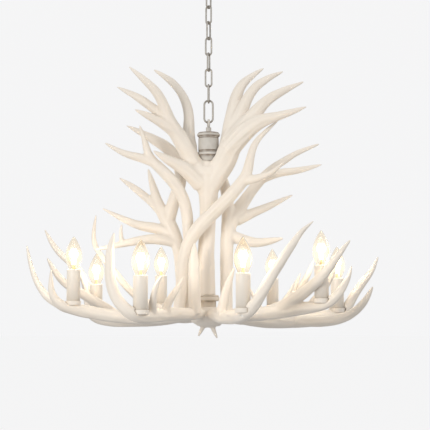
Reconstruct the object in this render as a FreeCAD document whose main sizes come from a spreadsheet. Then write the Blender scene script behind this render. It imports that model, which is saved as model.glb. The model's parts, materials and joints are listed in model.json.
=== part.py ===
"""Antler chandelier with eight candle lights, hung on a chain from a ceiling canopy.

All lengths are millimetres, +Z is up and the origin is the middle of the canopy's rim, on the
ceiling. The antlers, the hub and the lights are drawn about the top of the centre plate, on the
axis of the threaded rod, and are then lowered to the place that the canopy, chain and hub give.
A limb is a list of (x, y, z, radius) stations along its centre line.
"""
import FreeCAD, Part
import math
import os

from FreeCAD import Placement, Rotation, Vector

doc = FreeCAD.newDocument("AntlerChandelier")

# ---------------------------------------------------------------- driving dimensions

SIZES = {
    # ceiling canopy and its fixings
    "canopy_rim_radius": 62.0,
    "canopy_face_radius": 50.0,
    "canopy_height": 36.0,
    "canopy_wall": 1.5,
    "bracket_length": 96.0,
    "bracket_width": 22.0,
    "bracket_thick": 2.5,
    "bracket_hole_radius": 2.6,
    "bracket_hole_spacing": 70.0,
    "nipple_radius": 4.8,
    "nut_radius": 11.0,
    "nut_height": 8.0,
    "collar_radius": 8.0,
    "collar_height": 6.0,
    "loop_bend_radius": 11.0,
    "loop_wire_radius": 2.6,
    # chain
    "link_length": 49.0,
    "link_width": 20.0,
    "link_wire_radius": 2.3,
    "link_turn": 96.0,
    "link_start_turn": 48.0,
    "last_link_length": 59.5,
    "last_link_width": 26.0,
    "last_link_wire_radius": 2.5,
    # eye and hub
    "eye_bend_radius": 9.0,
    "eye_wire_radius": 3.0,
    "eye_stem_radius": 6.6,
    "eye_stem_height": 13.0,
    "hub_cap_radius": 28.0,
    "hub_cap_height": 11.5,
    "hub_body_radius": 25.0,
    "hub_body_height": 34.5,
    "hub_wall": 2.0,
    "hub_ring_radius": 27.0,
    "hub_ring_height": 13.0,
    "hub_neck_radius": 18.0,
    "hub_neck_height": 11.0,
    "rod_radius": 5.0,
    "rod_nut_radius": 9.2,
    "rod_nut_height": 7.0,
    # trunk, plate and finial
    "trunk_height": 327.0,
    "plate_radius": 26.0,
    "plate_height": 14.0,
    "plate_neck_radius": 14.0,
    "plate_neck_height": 15.0,
    "lump_radius": 47.0,
    "lump_height": 49.0,
    "prong_length": 22.0,
    # lights
    "light_ring_radius": 325.0,
    "pan_foot_radius": 18.0,
    "pan_rim_radius": 21.5,
    "pan_height": 10.0,
    "pan_wall": 2.0,
    "sleeve_radius": 16.0,
    "sleeve_height": 83.0,
    "sleeve_wall": 1.4,
    "sleeve_shoulder": 3.0,
    "mouth_gap": 1.5,
    "holder_radius": 13.0,
    "holder_height": 79.0,
    "holder_bore_depth": 32.0,
    "stud_radius": 4.8,
    "stud_depth": 9.0,
    "cap_radius": 6.9,
    "cap_height": 26.0,
    "glass_foot_radius": 9.5,
    "glass_radius": 19.0,
    "glass_height": 82.0,
    "glass_wall": 1.2,
    "glass_rings": 12.0,
    # fits and form
    "running_gap": 0.3,
    "thread_gap": 0.08,
    "saddle_depth": 8.0,
    "limb_sides": 8.0,
    "limb_fullness": 1.1,
    "crown_depth": 0.86,
    "tip_roundness": 0.35,
    "link_sides": 8.0,
}

# each light's bearing about the rod in degrees, from the front towards the right, and the height
# of its pan's foot over the top of the centre plate
LIGHTS = {
    1: (13.5, -40.0),
    2: (51.5, -19.0),
    3: (101.0, -42.0),
    4: (148.5, -37.0),
    5: (203.5, -29.0),
    6: (242.5, -55.0),
    7: (280.0, -24.0),
    8: (333.5, -44.0),
}

sheet = doc.addObject("Spreadsheet::Sheet", "Sizes")
for row, (alias, value) in enumerate(SIZES.items(), start=1):
    sheet.set(f"A{row}", alias)
    sheet.set(f"B{row}", str(value))
    sheet.setAlias(f"B{row}", alias)
first_light_row = len(SIZES) + 1
for row, (number, (bearing, seat_height)) in enumerate(LIGHTS.items(), start=first_light_row):
    sheet.set(f"A{row}", f"light {number}")
    sheet.set(f"B{row}", str(bearing))
    sheet.setAlias(f"B{row}", f"light_bearing_{number}")
    sheet.set(f"C{row}", str(seat_height))
    sheet.setAlias(f"C{row}", f"light_seat_{number}")
doc.recompute()


def size(alias):
    """A driving dimension, read from the sheet."""
    return float(getattr(sheet, alias))


def bind(obj, **expressions):
    """Tie an object's sizes to the sheet: every name in an expression is a cell's alias."""
    for prop, expression in expressions.items():
        obj.setExpression(prop.replace("__", "."), expression)
    return obj


def cylinder(name, radius, height, base="0"):
    """A cylinder about Z whose radius, height and base height are expressions on the sheet."""
    obj = doc.addObject("Part::Cylinder", name)
    return bind(obj, Radius=radius, Height=height, Placement__Base__z=base)


def cone(name, foot_radius, top_radius, height, base="0"):
    """A cone about Z whose radii, height and base height are expressions on the sheet."""
    obj = doc.addObject("Part::Cone", name)
    return bind(obj, Radius1=foot_radius, Radius2=top_radius, Height=height,
                Placement__Base__z=base)


def cut(name, base, tool):
    """The base with the tool taken away."""
    obj = doc.addObject("Part::Cut", name)
    obj.Base, obj.Tool = base, tool
    return obj


def fuse(name, *shapes):
    """Several objects joined into one."""
    obj = doc.addObject("Part::MultiFuse", name)
    obj.Shapes = list(shapes)
    return obj


sub_parts = []


def sub_part(label, obj, place=None):
    """Name an object as one of the chandelier's pieces, and place it."""
    obj.Label = label
    if place is not None:
        obj.Placement = place
    sub_parts.append(obj)
    return obj


def feature(label, shape, place=None):
    """A piece whose shape is made with Part's own functions."""
    obj = doc.addObject("Part::Feature", label)
    obj.Shape = shape
    return sub_part(label, obj, place or Placement())


# ---------------------------------------------------------------- heights down the chain

loop_height = -(size("canopy_height") + size("nut_height") + size("collar_height")
                + 2.0 * size("loop_bend_radius") + size("loop_wire_radius") - 1.0)
link_drop = size("link_length") - 4.0 * size("link_wire_radius") - size("running_gap")
first_link_lift = size("loop_wire_radius") + size("link_wire_radius") + size("running_gap")
link_lift = 2.0 * size("link_wire_radius") + size("running_gap")
last_link_lift = (size("link_wire_radius") + size("last_link_wire_radius")
                  + size("running_gap"))
eye_lift = size("last_link_wire_radius") + size("eye_wire_radius") + size("running_gap")
PLAIN_LINKS = 7

pivots = [loop_height]
pivots.append(pivots[-1] + first_link_lift - size("link_length")
              + 2.0 * size("link_wire_radius"))
for link in range(2, PLAIN_LINKS + 1):
    pivots.append(pivots[-1] - link_drop)
pivots.append(pivots[-1] + last_link_lift - size("last_link_length")
              + 2.0 * size("last_link_wire_radius"))
eye_pivot = pivots[-1]

eye_foot = eye_lift - 2.0 * size("eye_bend_radius") - size("eye_stem_height")
hub_top = eye_pivot + eye_foot
hub_height = (size("hub_cap_height") + size("hub_body_height") + size("hub_ring_height")
              + size("hub_neck_height"))
datum = Placement(Vector(0, 0, hub_top - hub_height - size("trunk_height")), Rotation())

# ---------------------------------------------------------------- canopy


def make_canopy():
    """A shallow cone of sheet steel, open to the ceiling, with a hole for the nipple."""
    outer = cone("canopy_outer", "Sizes.canopy_face_radius", "Sizes.canopy_rim_radius",
                 "Sizes.canopy_height", "-Sizes.canopy_height")
    inner = cone("canopy_inner", "Sizes.canopy_face_radius - Sizes.canopy_wall",
                 "Sizes.canopy_rim_radius - Sizes.canopy_wall", "Sizes.canopy_height",
                 "Sizes.canopy_wall - Sizes.canopy_height")
    hole = cylinder("canopy_hole", "Sizes.nipple_radius + Sizes.running_gap",
                    "Sizes.canopy_height", "-1.5 * Sizes.canopy_height")
    shell = cut("canopy_shell", outer, inner)
    sub_part("canopy", cut("canopy_body", shell, hole))


def make_bracket():
    """The flat crossbar on the ceiling, with a hole at each end and the nipple's in the middle."""
    bar = doc.addObject("Part::Box", "bracket_bar")
    bind(bar, Length="Sizes.bracket_length", Width="Sizes.bracket_width",
         Height="Sizes.bracket_thick", Placement__Base__x="-Sizes.bracket_length / 2",
         Placement__Base__y="-Sizes.bracket_width / 2",
         Placement__Base__z="-Sizes.bracket_thick")
    holes = [cylinder("bracket_nipple_hole", "Sizes.nipple_radius + Sizes.thread_gap",
                      "3 * Sizes.bracket_thick", "-2 * Sizes.bracket_thick")]
    for side in (-1, 1):
        hole = cylinder(f"bracket_screw_hole_{(side + 3) // 2}", "Sizes.bracket_hole_radius",
                        "3 * Sizes.bracket_thick", "-2 * Sizes.bracket_thick")
        bind(hole, Placement__Base__x=f"{side} * Sizes.bracket_hole_spacing / 2")
        holes.append(hole)
    sub_part("mounting_bracket", cut("bracket_body", bar, fuse("bracket_holes", *holes)))


def make_ring_nut():
    """The ring nut on the nipple that holds the canopy up."""
    body = cylinder("ring_nut_body", "Sizes.nut_radius", "Sizes.nut_height",
                    "-Sizes.canopy_height - Sizes.nut_height")
    bore = cylinder("ring_nut_bore", "Sizes.nipple_radius + Sizes.thread_gap",
                    "3 * Sizes.nut_height", "-Sizes.canopy_height - 2 * Sizes.nut_height")
    sub_part("canopy_ring_nut", cut("ring_nut", body, bore))


def make_canopy_loop():
    """A threaded nipple with a collar and the ring that carries the chain."""
    nipple = cylinder("loop_nipple", "Sizes.nipple_radius",
                      "Sizes.canopy_height + Sizes.nut_height",
                      "-Sizes.canopy_height - Sizes.nut_height")
    collar = cylinder("loop_collar", "Sizes.collar_radius", "Sizes.collar_height",
                      "-Sizes.canopy_height - Sizes.nut_height - Sizes.collar_height")
    ring = doc.addObject("Part::Torus", "loop_ring")
    bind(ring, Radius1="Sizes.loop_bend_radius", Radius2="Sizes.loop_wire_radius")
    turn = Rotation(Vector(0, 0, 1), size("link_start_turn") - size("link_turn"))
    ring.Placement = Placement(Vector(0, 0, loop_height + size("loop_bend_radius")),
                               turn.multiply(Rotation(Vector(1, 0, 0), 90)))
    sub_part("canopy_loop", fuse("loop_body", nipple, collar, ring))


# ---------------------------------------------------------------- chain


def ring_of_corners(centre, normal, start, radius, sides):
    """The corners of a regular polygon about a normal, the first one towards a start direction."""
    across = normal.cross(start)
    corners = []
    for corner in range(sides):
        angle = 2.0 * math.pi * corner / sides
        corners.append(centre + start * (radius * math.cos(angle))
                       + across * (radius * math.sin(angle)))
    return corners


def polygon(centre, start, radius, sides):
    """A level regular polygon."""
    corners = ring_of_corners(centre, Vector(0, 0, 1), start, radius, sides)
    return Part.makePolygon(corners + corners[:1])


def link_shape(length, width, wire_radius, lift):
    """One chain link in the XZ plane: two straight sides and two bends of faceted wire.

    The pivot is the origin, and the upper bend's wire runs the lift above it.
    """
    bend_radius = width / 2.0 - wire_radius
    top = lift - bend_radius
    foot = lift + 2.0 * wire_radius - length + bend_radius
    left, right = Vector(-bend_radius, 0, 0), Vector(bend_radius, 0, 0)
    up, down = Vector(0, 0, top), Vector(0, 0, foot)
    path = Part.Wire([
        Part.LineSegment(left + down, left + up).toShape(),
        Part.Arc(left + up, Vector(0, 0, lift), right + up).toShape(),
        Part.LineSegment(right + up, right + down).toShape(),
        Part.Arc(right + down, Vector(0, 0, foot - bend_radius), left + down).toShape(),
    ])
    sides = int(size("link_sides"))
    start = Rotation(Vector(0, 0, 1), 180.0 / sides).multVec(Vector(1, 0, 0))
    section = polygon(left + down, start, wire_radius, sides)
    return path.makePipeShell([section], True, False)


def make_chain():
    """The chain: seven like links and the larger one that hooks the hub's eye."""
    plain = [size("link_length"), size("link_width"), size("link_wire_radius")]
    for number in range(1, PLAIN_LINKS + 2):
        lift = first_link_lift if number == 1 else link_lift
        turn = Rotation(Vector(0, 0, 1),
                        size("link_start_turn") + (number - 1) * size("link_turn"))
        if number <= PLAIN_LINKS:
            shape = link_shape(*plain, lift)
        else:
            shape = link_shape(size("last_link_length"), size("last_link_width"),
                               size("last_link_wire_radius"), last_link_lift)
        feature(f"chain_link_{number}", shape,
                Placement(Vector(0, 0, pivots[number - 1]), turn))


# ---------------------------------------------------------------- eye, hub and rod


def turned(profile):
    """A solid turned about Z from a closed profile of (radius, height) corners."""
    corners = [Vector(radius, 0, height) for radius, height in profile]
    face = Part.Face(Part.makePolygon(corners + corners[:1]))
    return face.revolve(Vector(), Vector(0, 0, 1), 360)


def make_eye():
    """The eye that the last link hooks, on a stem that screws on the rod over the hub."""
    ring = Part.makeTorus(size("eye_bend_radius"), size("eye_wire_radius"))
    last_turn = size("link_start_turn") + (PLAIN_LINKS + 1) * size("link_turn")
    ring.Placement = Placement(
        Vector(0, 0, eye_lift - size("eye_bend_radius")),
        Rotation(Vector(0, 0, 1), last_turn).multiply(Rotation(Vector(1, 0, 0), 90)))
    stem = Part.makeCylinder(size("eye_stem_radius"), size("eye_stem_height"),
                             Vector(0, 0, eye_foot))
    feature("hub_eye", ring.fuse(stem), Placement(Vector(0, 0, eye_pivot), Rotation()))


def ring_profile(outer, inner, height, groove, base=0.0):
    """A turned band with a rounded outside: a groove above and below a full middle."""
    return [
        (inner, base), (outer - groove, base), (outer, base + height * 0.25),
        (outer, base + height * 0.75), (outer - groove, base + height), (inner, base + height),
    ]


def make_hub():
    """The hub: a cap with a raised rim, a hollow body, a lower ring and a neck on the trunk."""
    neck_foot = size("trunk_height")
    ring_foot = neck_foot + size("hub_neck_height")
    body_foot = ring_foot + size("hub_ring_height")
    cap_foot = body_foot + size("hub_body_height")
    bore = size("rod_radius") + size("running_gap")
    neck = turned([
        (bore, neck_foot), (size("hub_neck_radius"), neck_foot),
        (size("hub_ring_radius") - 3.0, ring_foot), (bore, ring_foot),
    ])
    ring = turned(ring_profile(size("hub_ring_radius"), bore, size("hub_ring_height"), 1.6,
                               ring_foot))
    body = turned([
        (size("hub_body_radius") - size("hub_wall"), body_foot),
        (size("hub_body_radius"), body_foot), (size("hub_body_radius"), cap_foot),
        (size("hub_body_radius") - size("hub_wall"), cap_foot),
    ])
    cap = turned(ring_profile(size("hub_cap_radius"), bore, size("hub_cap_height"), 1.6,
                              cap_foot))
    feature("hub_neck", neck, datum)
    feature("hub_ring", ring, datum)
    feature("hub_body", body, datum)
    feature("hub_cap", cap, datum)


def rod_foot():
    """The height of the rod's lower end, in the finial's blind bore."""
    return -size("plate_height") - size("plate_neck_height") - size("lump_height") / 2.0


def make_rod():
    """The threaded rod that clamps the hub, the trunk, the plate and the finial together."""
    top = size("trunk_height") + hub_height
    rod = Part.makeCylinder(size("rod_radius"), top - rod_foot(), Vector(0, 0, rod_foot()))
    feature("threaded_rod", rod, datum)


def make_rod_nuts():
    """Two hexagon nuts inside the hub: one under its cap and one on its lower ring."""
    ring_top = size("trunk_height") + size("hub_neck_height") + size("hub_ring_height")
    cap_foot = ring_top + size("hub_body_height")
    nuts = []
    for foot in (ring_top, cap_foot - size("rod_nut_height")):
        face = Part.Face(polygon(Vector(0, 0, foot), Vector(1, 0, 0), size("rod_nut_radius"), 6))
        bore = Part.makeCylinder(size("rod_radius") + size("thread_gap"), size("rod_nut_height"),
                                 Vector(0, 0, foot))
        nuts.append(face.extrude(Vector(0, 0, size("rod_nut_height"))).cut(bore))
    feature("rod_nuts", Part.makeCompound(nuts), datum)


def make_plate():
    """The turned plate under the trunk, with the narrow neck that stands on the finial."""
    bore = size("rod_radius") + size("running_gap")
    neck_top = -size("plate_height")
    foot = neck_top - size("plate_neck_height")
    rim = size("plate_radius")
    return turned([
        (bore, foot), (size("plate_neck_radius"), foot), (size("plate_neck_radius"), neck_top),
        (rim - 2.0, neck_top), (rim, neck_top * 0.7), (rim, neck_top * 0.3), (rim - 2.0, 0.0),
        (bore, 0.0),
    ])


def make_finial():
    """The resin lump that the low antlers meet, with two short prongs under it."""
    top = -size("plate_height") - size("plate_neck_height")
    wide, tall = size("lump_radius"), size("lump_height")
    outline = [(0.0, 1.0), (0.62, 1.0), (0.86, 0.86), (1.0, 0.58), (0.88, 0.3), (0.56, 0.08),
               (0.2, 0.0), (0.0, 0.0)]
    lump = turned([(across * wide, top - tall + up * tall) for across, up in outline])
    foot = top - tall
    prongs = [
        limb([(-9, -6, foot + 10, 7), (-15, -8, foot - 4, 5),
              (-23, -10, foot - size("prong_length") + 4, 2.7)]),
        limb([(6, -6, foot + 10, 7), (12, -8, foot - 4, 5),
              (20, -10, foot - size("prong_length"), 2.7)]),
    ]
    bore = Part.makeCylinder(size("rod_radius") + size("thread_gap"), top - rod_foot(),
                             Vector(0, 0, rod_foot()))
    return lump.multiFuse(prongs).cut(bore)


# ---------------------------------------------------------------- limbs


def long_facet(rings, side):
    """The smooth strip along a limb between two neighbouring corners of its rings."""
    after = (side + 1) % len(rings[0])
    degree = min(3, len(rings) - 1)
    inner_knots = len(rings) - degree - 1
    surface = Part.BSplineSurface()
    surface.buildFromPolesMultsKnots(
        [[ring[side], ring[after]] for ring in rings],
        [degree + 1] + [1] * inner_knots + [degree + 1], [2, 2],
        [float(knot) for knot in range(inner_knots + 2)], [0.0, 1.0],
        False, False, degree, 1)
    return surface.toShape()


def limb(stations, depth=1.0):
    """A smooth tapering limb: its rings, square to the centre line, are the poles of its skin.

    The depth is how deep it is, front to back, against its width. Its tip is rounded.
    """
    points = [Vector(*station[:3]) for station in stations]
    radii = [station[3] * size("limb_fullness") for station in stations]
    last = len(points) - 1
    sides = int(size("limb_sides"))
    rings = []
    direction = start = None
    for index, point in enumerate(points):
        ahead = points[min(index + 1, last)] - points[max(index - 1, 0)]
        ahead.normalize()
        if start is None:
            start = ahead.cross(Vector(0.3, 1.0, 0.2)).normalize()
        else:
            start = Rotation(direction, ahead).multVec(start)
        direction = ahead
        ring = ring_of_corners(point, direction, start, radii[index], sides)
        rings.append([Vector(corner.x, point.y + (corner.y - point.y) * depth, corner.z)
                      for corner in ring])
    tip = points[-1] + direction * radii[-1]
    rings.append([tip + (corner - points[-1]) * size("tip_roundness") for corner in rings[-1]])
    faces = [long_facet(rings, side) for side in range(sides)]
    faces += [Part.Face(Part.makePolygon(ring + ring[:1])) for ring in (rings[0], rings[-1])]
    shell = Part.makeShell(faces)
    shell.sewShape(0.001)
    solid = Part.makeSolid(shell)
    if solid.Volume < 0:
        solid.reverse()
    return solid


def antler(*limbs, depth=1.0):
    """One antler: its beam with every tine grown into it."""
    grown = [limb(stations, depth) for stations in limbs]
    return grown[0].multiFuse(grown[1:]) if len(grown) > 1 else grown[0]


def fitted(shape, *neighbours):
    """A piece carved to seat on its neighbours, without the off-cuts."""
    for neighbour in neighbours:
        shape = shape.cut(neighbour)
    return max(shape.Solids, key=lambda solid: solid.Volume)


def light_seat(number):
    """The middle of a pan's foot."""
    bearing = math.radians(size(f"light_bearing_{number}"))
    ring = size("light_ring_radius")
    return Vector(ring * math.sin(bearing), -ring * math.cos(bearing),
                  size(f"light_seat_{number}"))


def inward(number, distance, height, radius, side=0.0):
    """A station on the way from the rod to a light, at a distance from the rod."""
    bearing = math.radians(size(f"light_bearing_{number}"))
    return (distance * math.sin(bearing) + side * math.cos(bearing),
            -distance * math.cos(bearing) + side * math.sin(bearing), height, radius)


def outward(number, stations):
    """Stations measured from the middle of the beam under a light."""
    seat = light_seat(number)
    sunk = seat.z - size("saddle_depth")
    return [(seat.x + x, seat.y + y, sunk + z, radius) for x, y, z, radius in stations]


def low_beam(number, hub_end, way, under, tip):
    """A low antler's beam: from the finial, along the way, under its light and up to its tip."""
    inner = [inward(number, *hub_end)] + [inward(number, *station) for station in way]
    return inner + outward(number, [(0, 0, 0, under)] + tip)


# ---------------------------------------------------------------- low antlers

HUB_END = (36, -45, 12.5)


def low_antler_1():
    """The front right antler, with a long tip beside the light and a tine near the trunk."""
    beam = low_beam(1, HUB_END, [(120, -54, 14.5), (225, -51, 14.5)], 14, [
        (28, -20, 28, 12.5), (48, -20, 67, 11), (88, -6, 129, 9.7), (110, 2, 159, 8),
        (128, 10, 186, 4.9), (151, 18, 204, 2.7)])
    inner_tine = outward(1, [
        (-44, 166, 8, 12), (-39, 148, 44, 11), (-28, 132, 76, 8), (-18, 116, 105, 2.7)])
    return antler(beam, inner_tine)


def low_antler_2():
    """The right antler: its light stands on a branch, behind the large front beam."""
    beam = low_beam(2, HUB_END, [(119, -50, 15.5), (198, -40, 15)], 13.5, [
        (30, -12, 17, 11), (48, -10, 46, 7.9), (62, -6, 66, 5.6), (67, -3, 89, 2.7)])
    front = outward(2, [
        (-96, 84, -13, 15), (-66, 48, 10, 14.5), (-35, -2, 34, 12.4), (-4, -38, 63, 10.5),
        (20, -45, 94, 9), (40, -46, 123, 6), (58, -44, 144, 2.7)])
    middle = outward(2, [
        (-32, 30, -9, 9.5), (-8, 44, 19, 8.4), (14, 52, 44, 7), (32, 54, 72, 5),
        (39, 54, 104, 2.7)])
    rear = outward(2, [
        (-68, 68, -7, 10), (-40, 72, 44, 8), (-21, 72, 75, 7), (-10, 72, 107, 2.7)])
    small = outward(2, [(-70, 50, 7, 9), (-54, 40, 49, 5.6), (-45, 37, 73, 2.7)])
    return antler(beam, front, middle, rear, small)


def low_antler_3():
    """The far right antler, the widest of all, with a low branch that sweeps forward."""
    beam = low_beam(3, HUB_END, [(110, -62, 18.5), (200, -62, 19.2), (270, -58, 18.2)], 16.5, [
        (25, 10, 16, 12.5), (41, 14, 48, 11.3), (62, 16, 78, 8.8), (90, 16, 111, 7.6),
        (104, 14, 144, 2.7)])
    front = outward(3, [
        (-104, -26, -12, 14), (-61, -54, -14, 13), (-22, -82, -13, 12), (19, -110, 2, 10.8),
        (39, -120, 20, 9.3), (57, -125, 43, 7.2), (69, -128, 68, 2.7)])
    rear = outward(3, [(-19, -2, -2, 10), (-1, 32, 34, 7.6), (6, 38, 79, 5.4), (14, 38, 145, 2.7)])
    return antler(beam, front, rear)


def low_antler_4():
    """The right rear antler, mostly hidden by the ones before it."""
    beam = low_beam(4, HUB_END, [(135, -58, 18.8), (240, -54, 18.4)], 16.5, [
        (30, 25, 21, 11), (52, 41, 52, 8), (68, 53, 89, 2.7)])
    side_tine = outward(4, [(-28, -47, -3, 10), (-48, -15, 32, 7.4), (-62, 3, 67, 2.7)])
    branch = outward(4, [
        (-62, -88, -8, 14), (-12, -72, 6, 13), (38, -60, 27, 11.4), (72, -48, 60, 9),
        (92, -38, 98, 2.7)])
    return antler(beam, side_tine, branch)


def low_antler_5():
    """The left rear antler, with the long thin branch that stands up at the left."""
    beam = low_beam(5, HUB_END, [(125, -56, 18), (238, -50, 17.6)], 16, [
        (-16, 34, 17, 9.6), (-28, 50, 47, 2.7)])
    branch = outward(5, [
        (22, -52, -7, 12), (-30, -36, 13, 10.6), (-78, -34, 42, 9), (-116, -38, 96, 8),
        (-147, -42, 130, 7.6), (-172, -46, 162, 7), (-182, -48, 197, 5.4),
        (-172, -50, 250, 2.7)])
    return antler(beam, branch)


def low_antler_6():
    """The left antler behind the widest one, with two long tips round its light."""
    beam = low_beam(6, HUB_END, [(115, -60, 15.5), (225, -64, 15.5)], 14, [
        (-18, 24, 21, 13), (-26, 36, 60, 11), (-30, 37, 98, 9.8), (-55, 35, 140, 9.4),
        (-97, 30, 167, 8.6), (-124, 28, 205, 6.4), (-137, 26, 232, 2.7)])
    side = outward(6, [
        (73, -38, 1, 13), (24, -42, 35, 12.4), (-18, -47, 60, 11.6), (-50, -58, 79, 10.6),
        (-78, -70, 97, 9.4), (-98, -80, 126, 7), (-112, -86, 153, 2.7)])
    return antler(beam, side)


def low_antler_7():
    """The far left antler: a short tip by its light and the longest reach behind it."""
    beam = low_beam(7, HUB_END, [(112, -58, 14.5), (205, -54, 14.5), (274, -44, 14.6)], 14.4, [
        (-30, -12, 6, 12.5), (-46, -16, 28, 9.4), (-52, -18, 50, 7.2), (-51, -18, 88, 2.7)])
    reach = outward(7, [
        (-18, -2, 2, 10.5), (-54, 18, 16, 9.6), (-77, 34, 38, 8.4), (-95, 44, 63, 7.2),
        (-112, 52, 102, 5.4), (-121, 56, 150, 2.7)])
    return antler(beam, reach)


def low_antler_8():
    """The front left antler, with three tines besides its tall tip."""
    beam = low_beam(8, HUB_END, [(140, -44, 14.5), (235, -46, 14.5)], 14.5, [
        (-27, -15, 14, 13.5), (-53, -13, 41, 12), (-64, -9, 78, 11.6), (-67, -5, 123, 9.8),
        (-66, -1, 152, 8.4), (-59, 3, 182, 2.7)])
    inside = outward(8, [(23, 41, 10, 9.6), (27, 11, 46, 7.2), (32, 3, 71, 5.6), (45, 1, 90, 2.7)])
    side = outward(8, [(47, 93, 12, 11), (58, 85, 39, 8.6), (76, 87, 62, 7.3), (89, 91, 88, 2.7)])
    centre = outward(8, [
        (115, 213, 10, 13.5), (112, 201, 64, 14), (111, 199, 110, 13.4), (111, 199, 141, 11.6),
        (113, 197, 171, 2.7)])
    return antler(beam, inside, side, centre)


# ---------------------------------------------------------------- crown and uprights


def raised(stations):
    """Crown stations, measured from the foot of the hub's neck."""
    return [(x, y, size("trunk_height") + z, radius) for x, y, z, radius in stations]


def front_crown():
    """The trunk round the rod, its fork under the hub and the two tined crowns."""
    trunk = raised([
        (-5, -4, -337, 21.7), (-7, -4, -244, 19.5), (-4, -4, -171, 19.0), (0, -4, -115, 19.5),
        (-1, -5, -64, 24.8), (-2, -6, -25, 27)])
    left = raised([
        (-6, -6, -69, 21.9), (-28, -6, -20, 25.6), (-45, -3, 19, 21.4), (-51, 4, 57, 15.6),
        (-47, 14, 100, 12), (-52, 26, 144, 11.4), (-71, 38, 184, 10.1), (-103, 46, 217, 8.4),
        (-135, 50, 236, 2.7)])
    branch = raised([
        (-38, -10, -6, 21.9), (-56, -18, 34, 20.8), (-77, -30, 65, 17.4), (-97, -42, 92, 16.3),
        (-107, -54, 129, 12.4), (-122, -66, 157, 10.7), (-150, -76, 184, 9),
        (-187, -84, 214, 2.7)])
    middle_tine = raised([
        (-95, -42, 86, 13.4), (-115, -44, 111, 11.6), (-145, -44, 131, 10.6),
        (-179, -40, 157, 8.7), (-220, -34, 176, 2.7)])
    low_tine = raised([
        (-78, -32, 63, 14.5), (-104, -46, 84, 12.9), (-137, -62, 98, 10), (-173, -78, 113, 2.7)])
    side_tine = raised([
        (-18, -10, -60, 19.4), (-45, -22, -27, 19.8), (-77, -36, -12, 13.5),
        (-107, -50, 2, 9.8), (-129, -62, 15, 2.7)])
    saddle = raised([(-45, -12, -24, 17), (-1, -15, -36, 19), (38, -12, -21, 18)])
    stem = raised([
        (1, -5, -69, 21.9), (19, -8, -33, 27), (39, -9, -1, 29), (52, -9, 33, 26.7),
        (60, -8, 67, 24)])
    outer = raised([
        (50, -6, 23, 23.9), (57, 2, 83, 22.5), (64, 14, 137, 17.7), (71, 27, 181, 12.6),
        (98, 38, 215, 9.7), (135, 46, 239, 2.7)])
    upper = raised([
        (55, -8, 52, 20.7), (75, -5, 104, 16.6), (90, 0, 149, 12.9), (112, 5, 183, 11.5),
        (141, 9, 206, 9.5), (182, 12, 224, 2.7)])
    middle = raised([
        (52, -12, 40, 23.8), (86, -20, 80, 21.8), (111, -28, 111, 17.4), (138, -35, 143, 12.4),
        (177, -40, 166, 9.8), (228, -44, 187, 2.7)])
    lower = raised([
        (50, -14, 27, 24.3), (83, -26, 67, 23.2), (115, -42, 90, 18.7), (154, -58, 98, 11.4),
        (186, -72, 104, 8.8), (231, -88, 118, 2.7)])
    return antler(trunk, left, branch, middle_tine, low_tine, side_tine, saddle, stem, outer,
                  upper, middle, lower, depth=size("crown_depth"))


def left_arch():
    """The upright that rises at the left of the trunk and forks to the upper left."""
    beam = [
        (-50, -8, -44, 10), (-47, -6, 83, 11.6), (-49, -12, 155, 12.8), (-52, -22, 208, 13.6),
        (-69, -34, 255, 14.5), (-104, -44, 294, 13.8), (-140, -50, 324, 10.8),
        (-148, -54, 348, 8.8), (-153, -56, 372, 6.7), (-164, -60, 402, 2.7)]
    outer_tine = [(-133, -49, 318, 10.8), (-161, -54, 329, 10), (-185, -58, 332, 8.9),
                  (-213, -64, 342, 6.7), (-244, -70, 360, 2.7)]
    return antler(beam, outer_tine)


def front_arch():
    """The upright that crosses before the trunk from the lower left to the upper right."""
    beam = [
        (-72, -28, -42, 13), (-66, -34, 0, 14), (-62, -40, 74, 13.5), (-52, -44, 120, 15),
        (-28, -46, 158, 16.3), (8, -44, 194, 16.1), (47, -42, 230, 14.9), (73, -40, 262, 14.4),
        (93, -38, 288, 13.2), (99, -36, 320, 10.3), (105, -34, 351, 8.4), (122, -32, 383, 6.7),
        (168, -30, 422, 2.7)]
    side_tine = [(83, -39, 274, 12), (107, -44, 277, 10.1), (130, -50, 282, 8.1),
                 (153, -56, 292, 6), (181, -62, 316, 2.7)]
    return antler(beam, side_tine)


def left_rear():
    """The left rear upright: a palm with tines to the left and a beam that curls over it."""
    pillar = [
        (-62, 26, -44, 13), (-64, 26, 0, 14.3), (-67, 28, 84, 14.3), (-75, 34, 126, 15.6),
        (-93, 42, 169, 17.4), (-111, 50, 199, 15.7), (-127, 58, 230, 12.7), (-136, 66, 261, 10),
        (-143, 72, 284, 8), (-152, 78, 315, 2.8)]
    left_tine = [(-116, 52, 207, 12.4), (-141, 64, 232, 11), (-167, 76, 254, 9.3),
                 (-193, 86, 274, 7.6), (-224, 94, 295, 2.8)]
    inner = [(-100, 44, 179, 15.4), (-93, 46, 214, 15.1), (-81, 46, 249, 14.9),
             (-68, 44, 281, 14.9), (-69, 42, 318, 15.4), (-88, 38, 355, 15.1),
             (-119, 34, 376, 13.3), (-149, 30, 393, 10.4), (-202, 24, 418, 2.7)]
    middle_tine = [(-90, 40, 151, 14.9), (-120, 44, 164, 13.4), (-150, 46, 168, 11.7),
                   (-182, 46, 175, 9.9), (-215, 44, 190, 7.4), (-260, 40, 213, 2.7)]
    low_tine = [(-80, 34, 131, 14.3), (-115, 30, 138, 12.6), (-149, 26, 138, 11.3),
                (-188, 22, 131, 9.8), (-227, 20, 121, 6.9), (-271, 18, 113, 2.9)]
    spur = [(-208, 21, 126, 6.9), (-220, 18, 143, 5.4), (-213, 14, 170, 2.7)]
    return antler(pillar, left_tine, inner, middle_tine, low_tine, spur)


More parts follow.
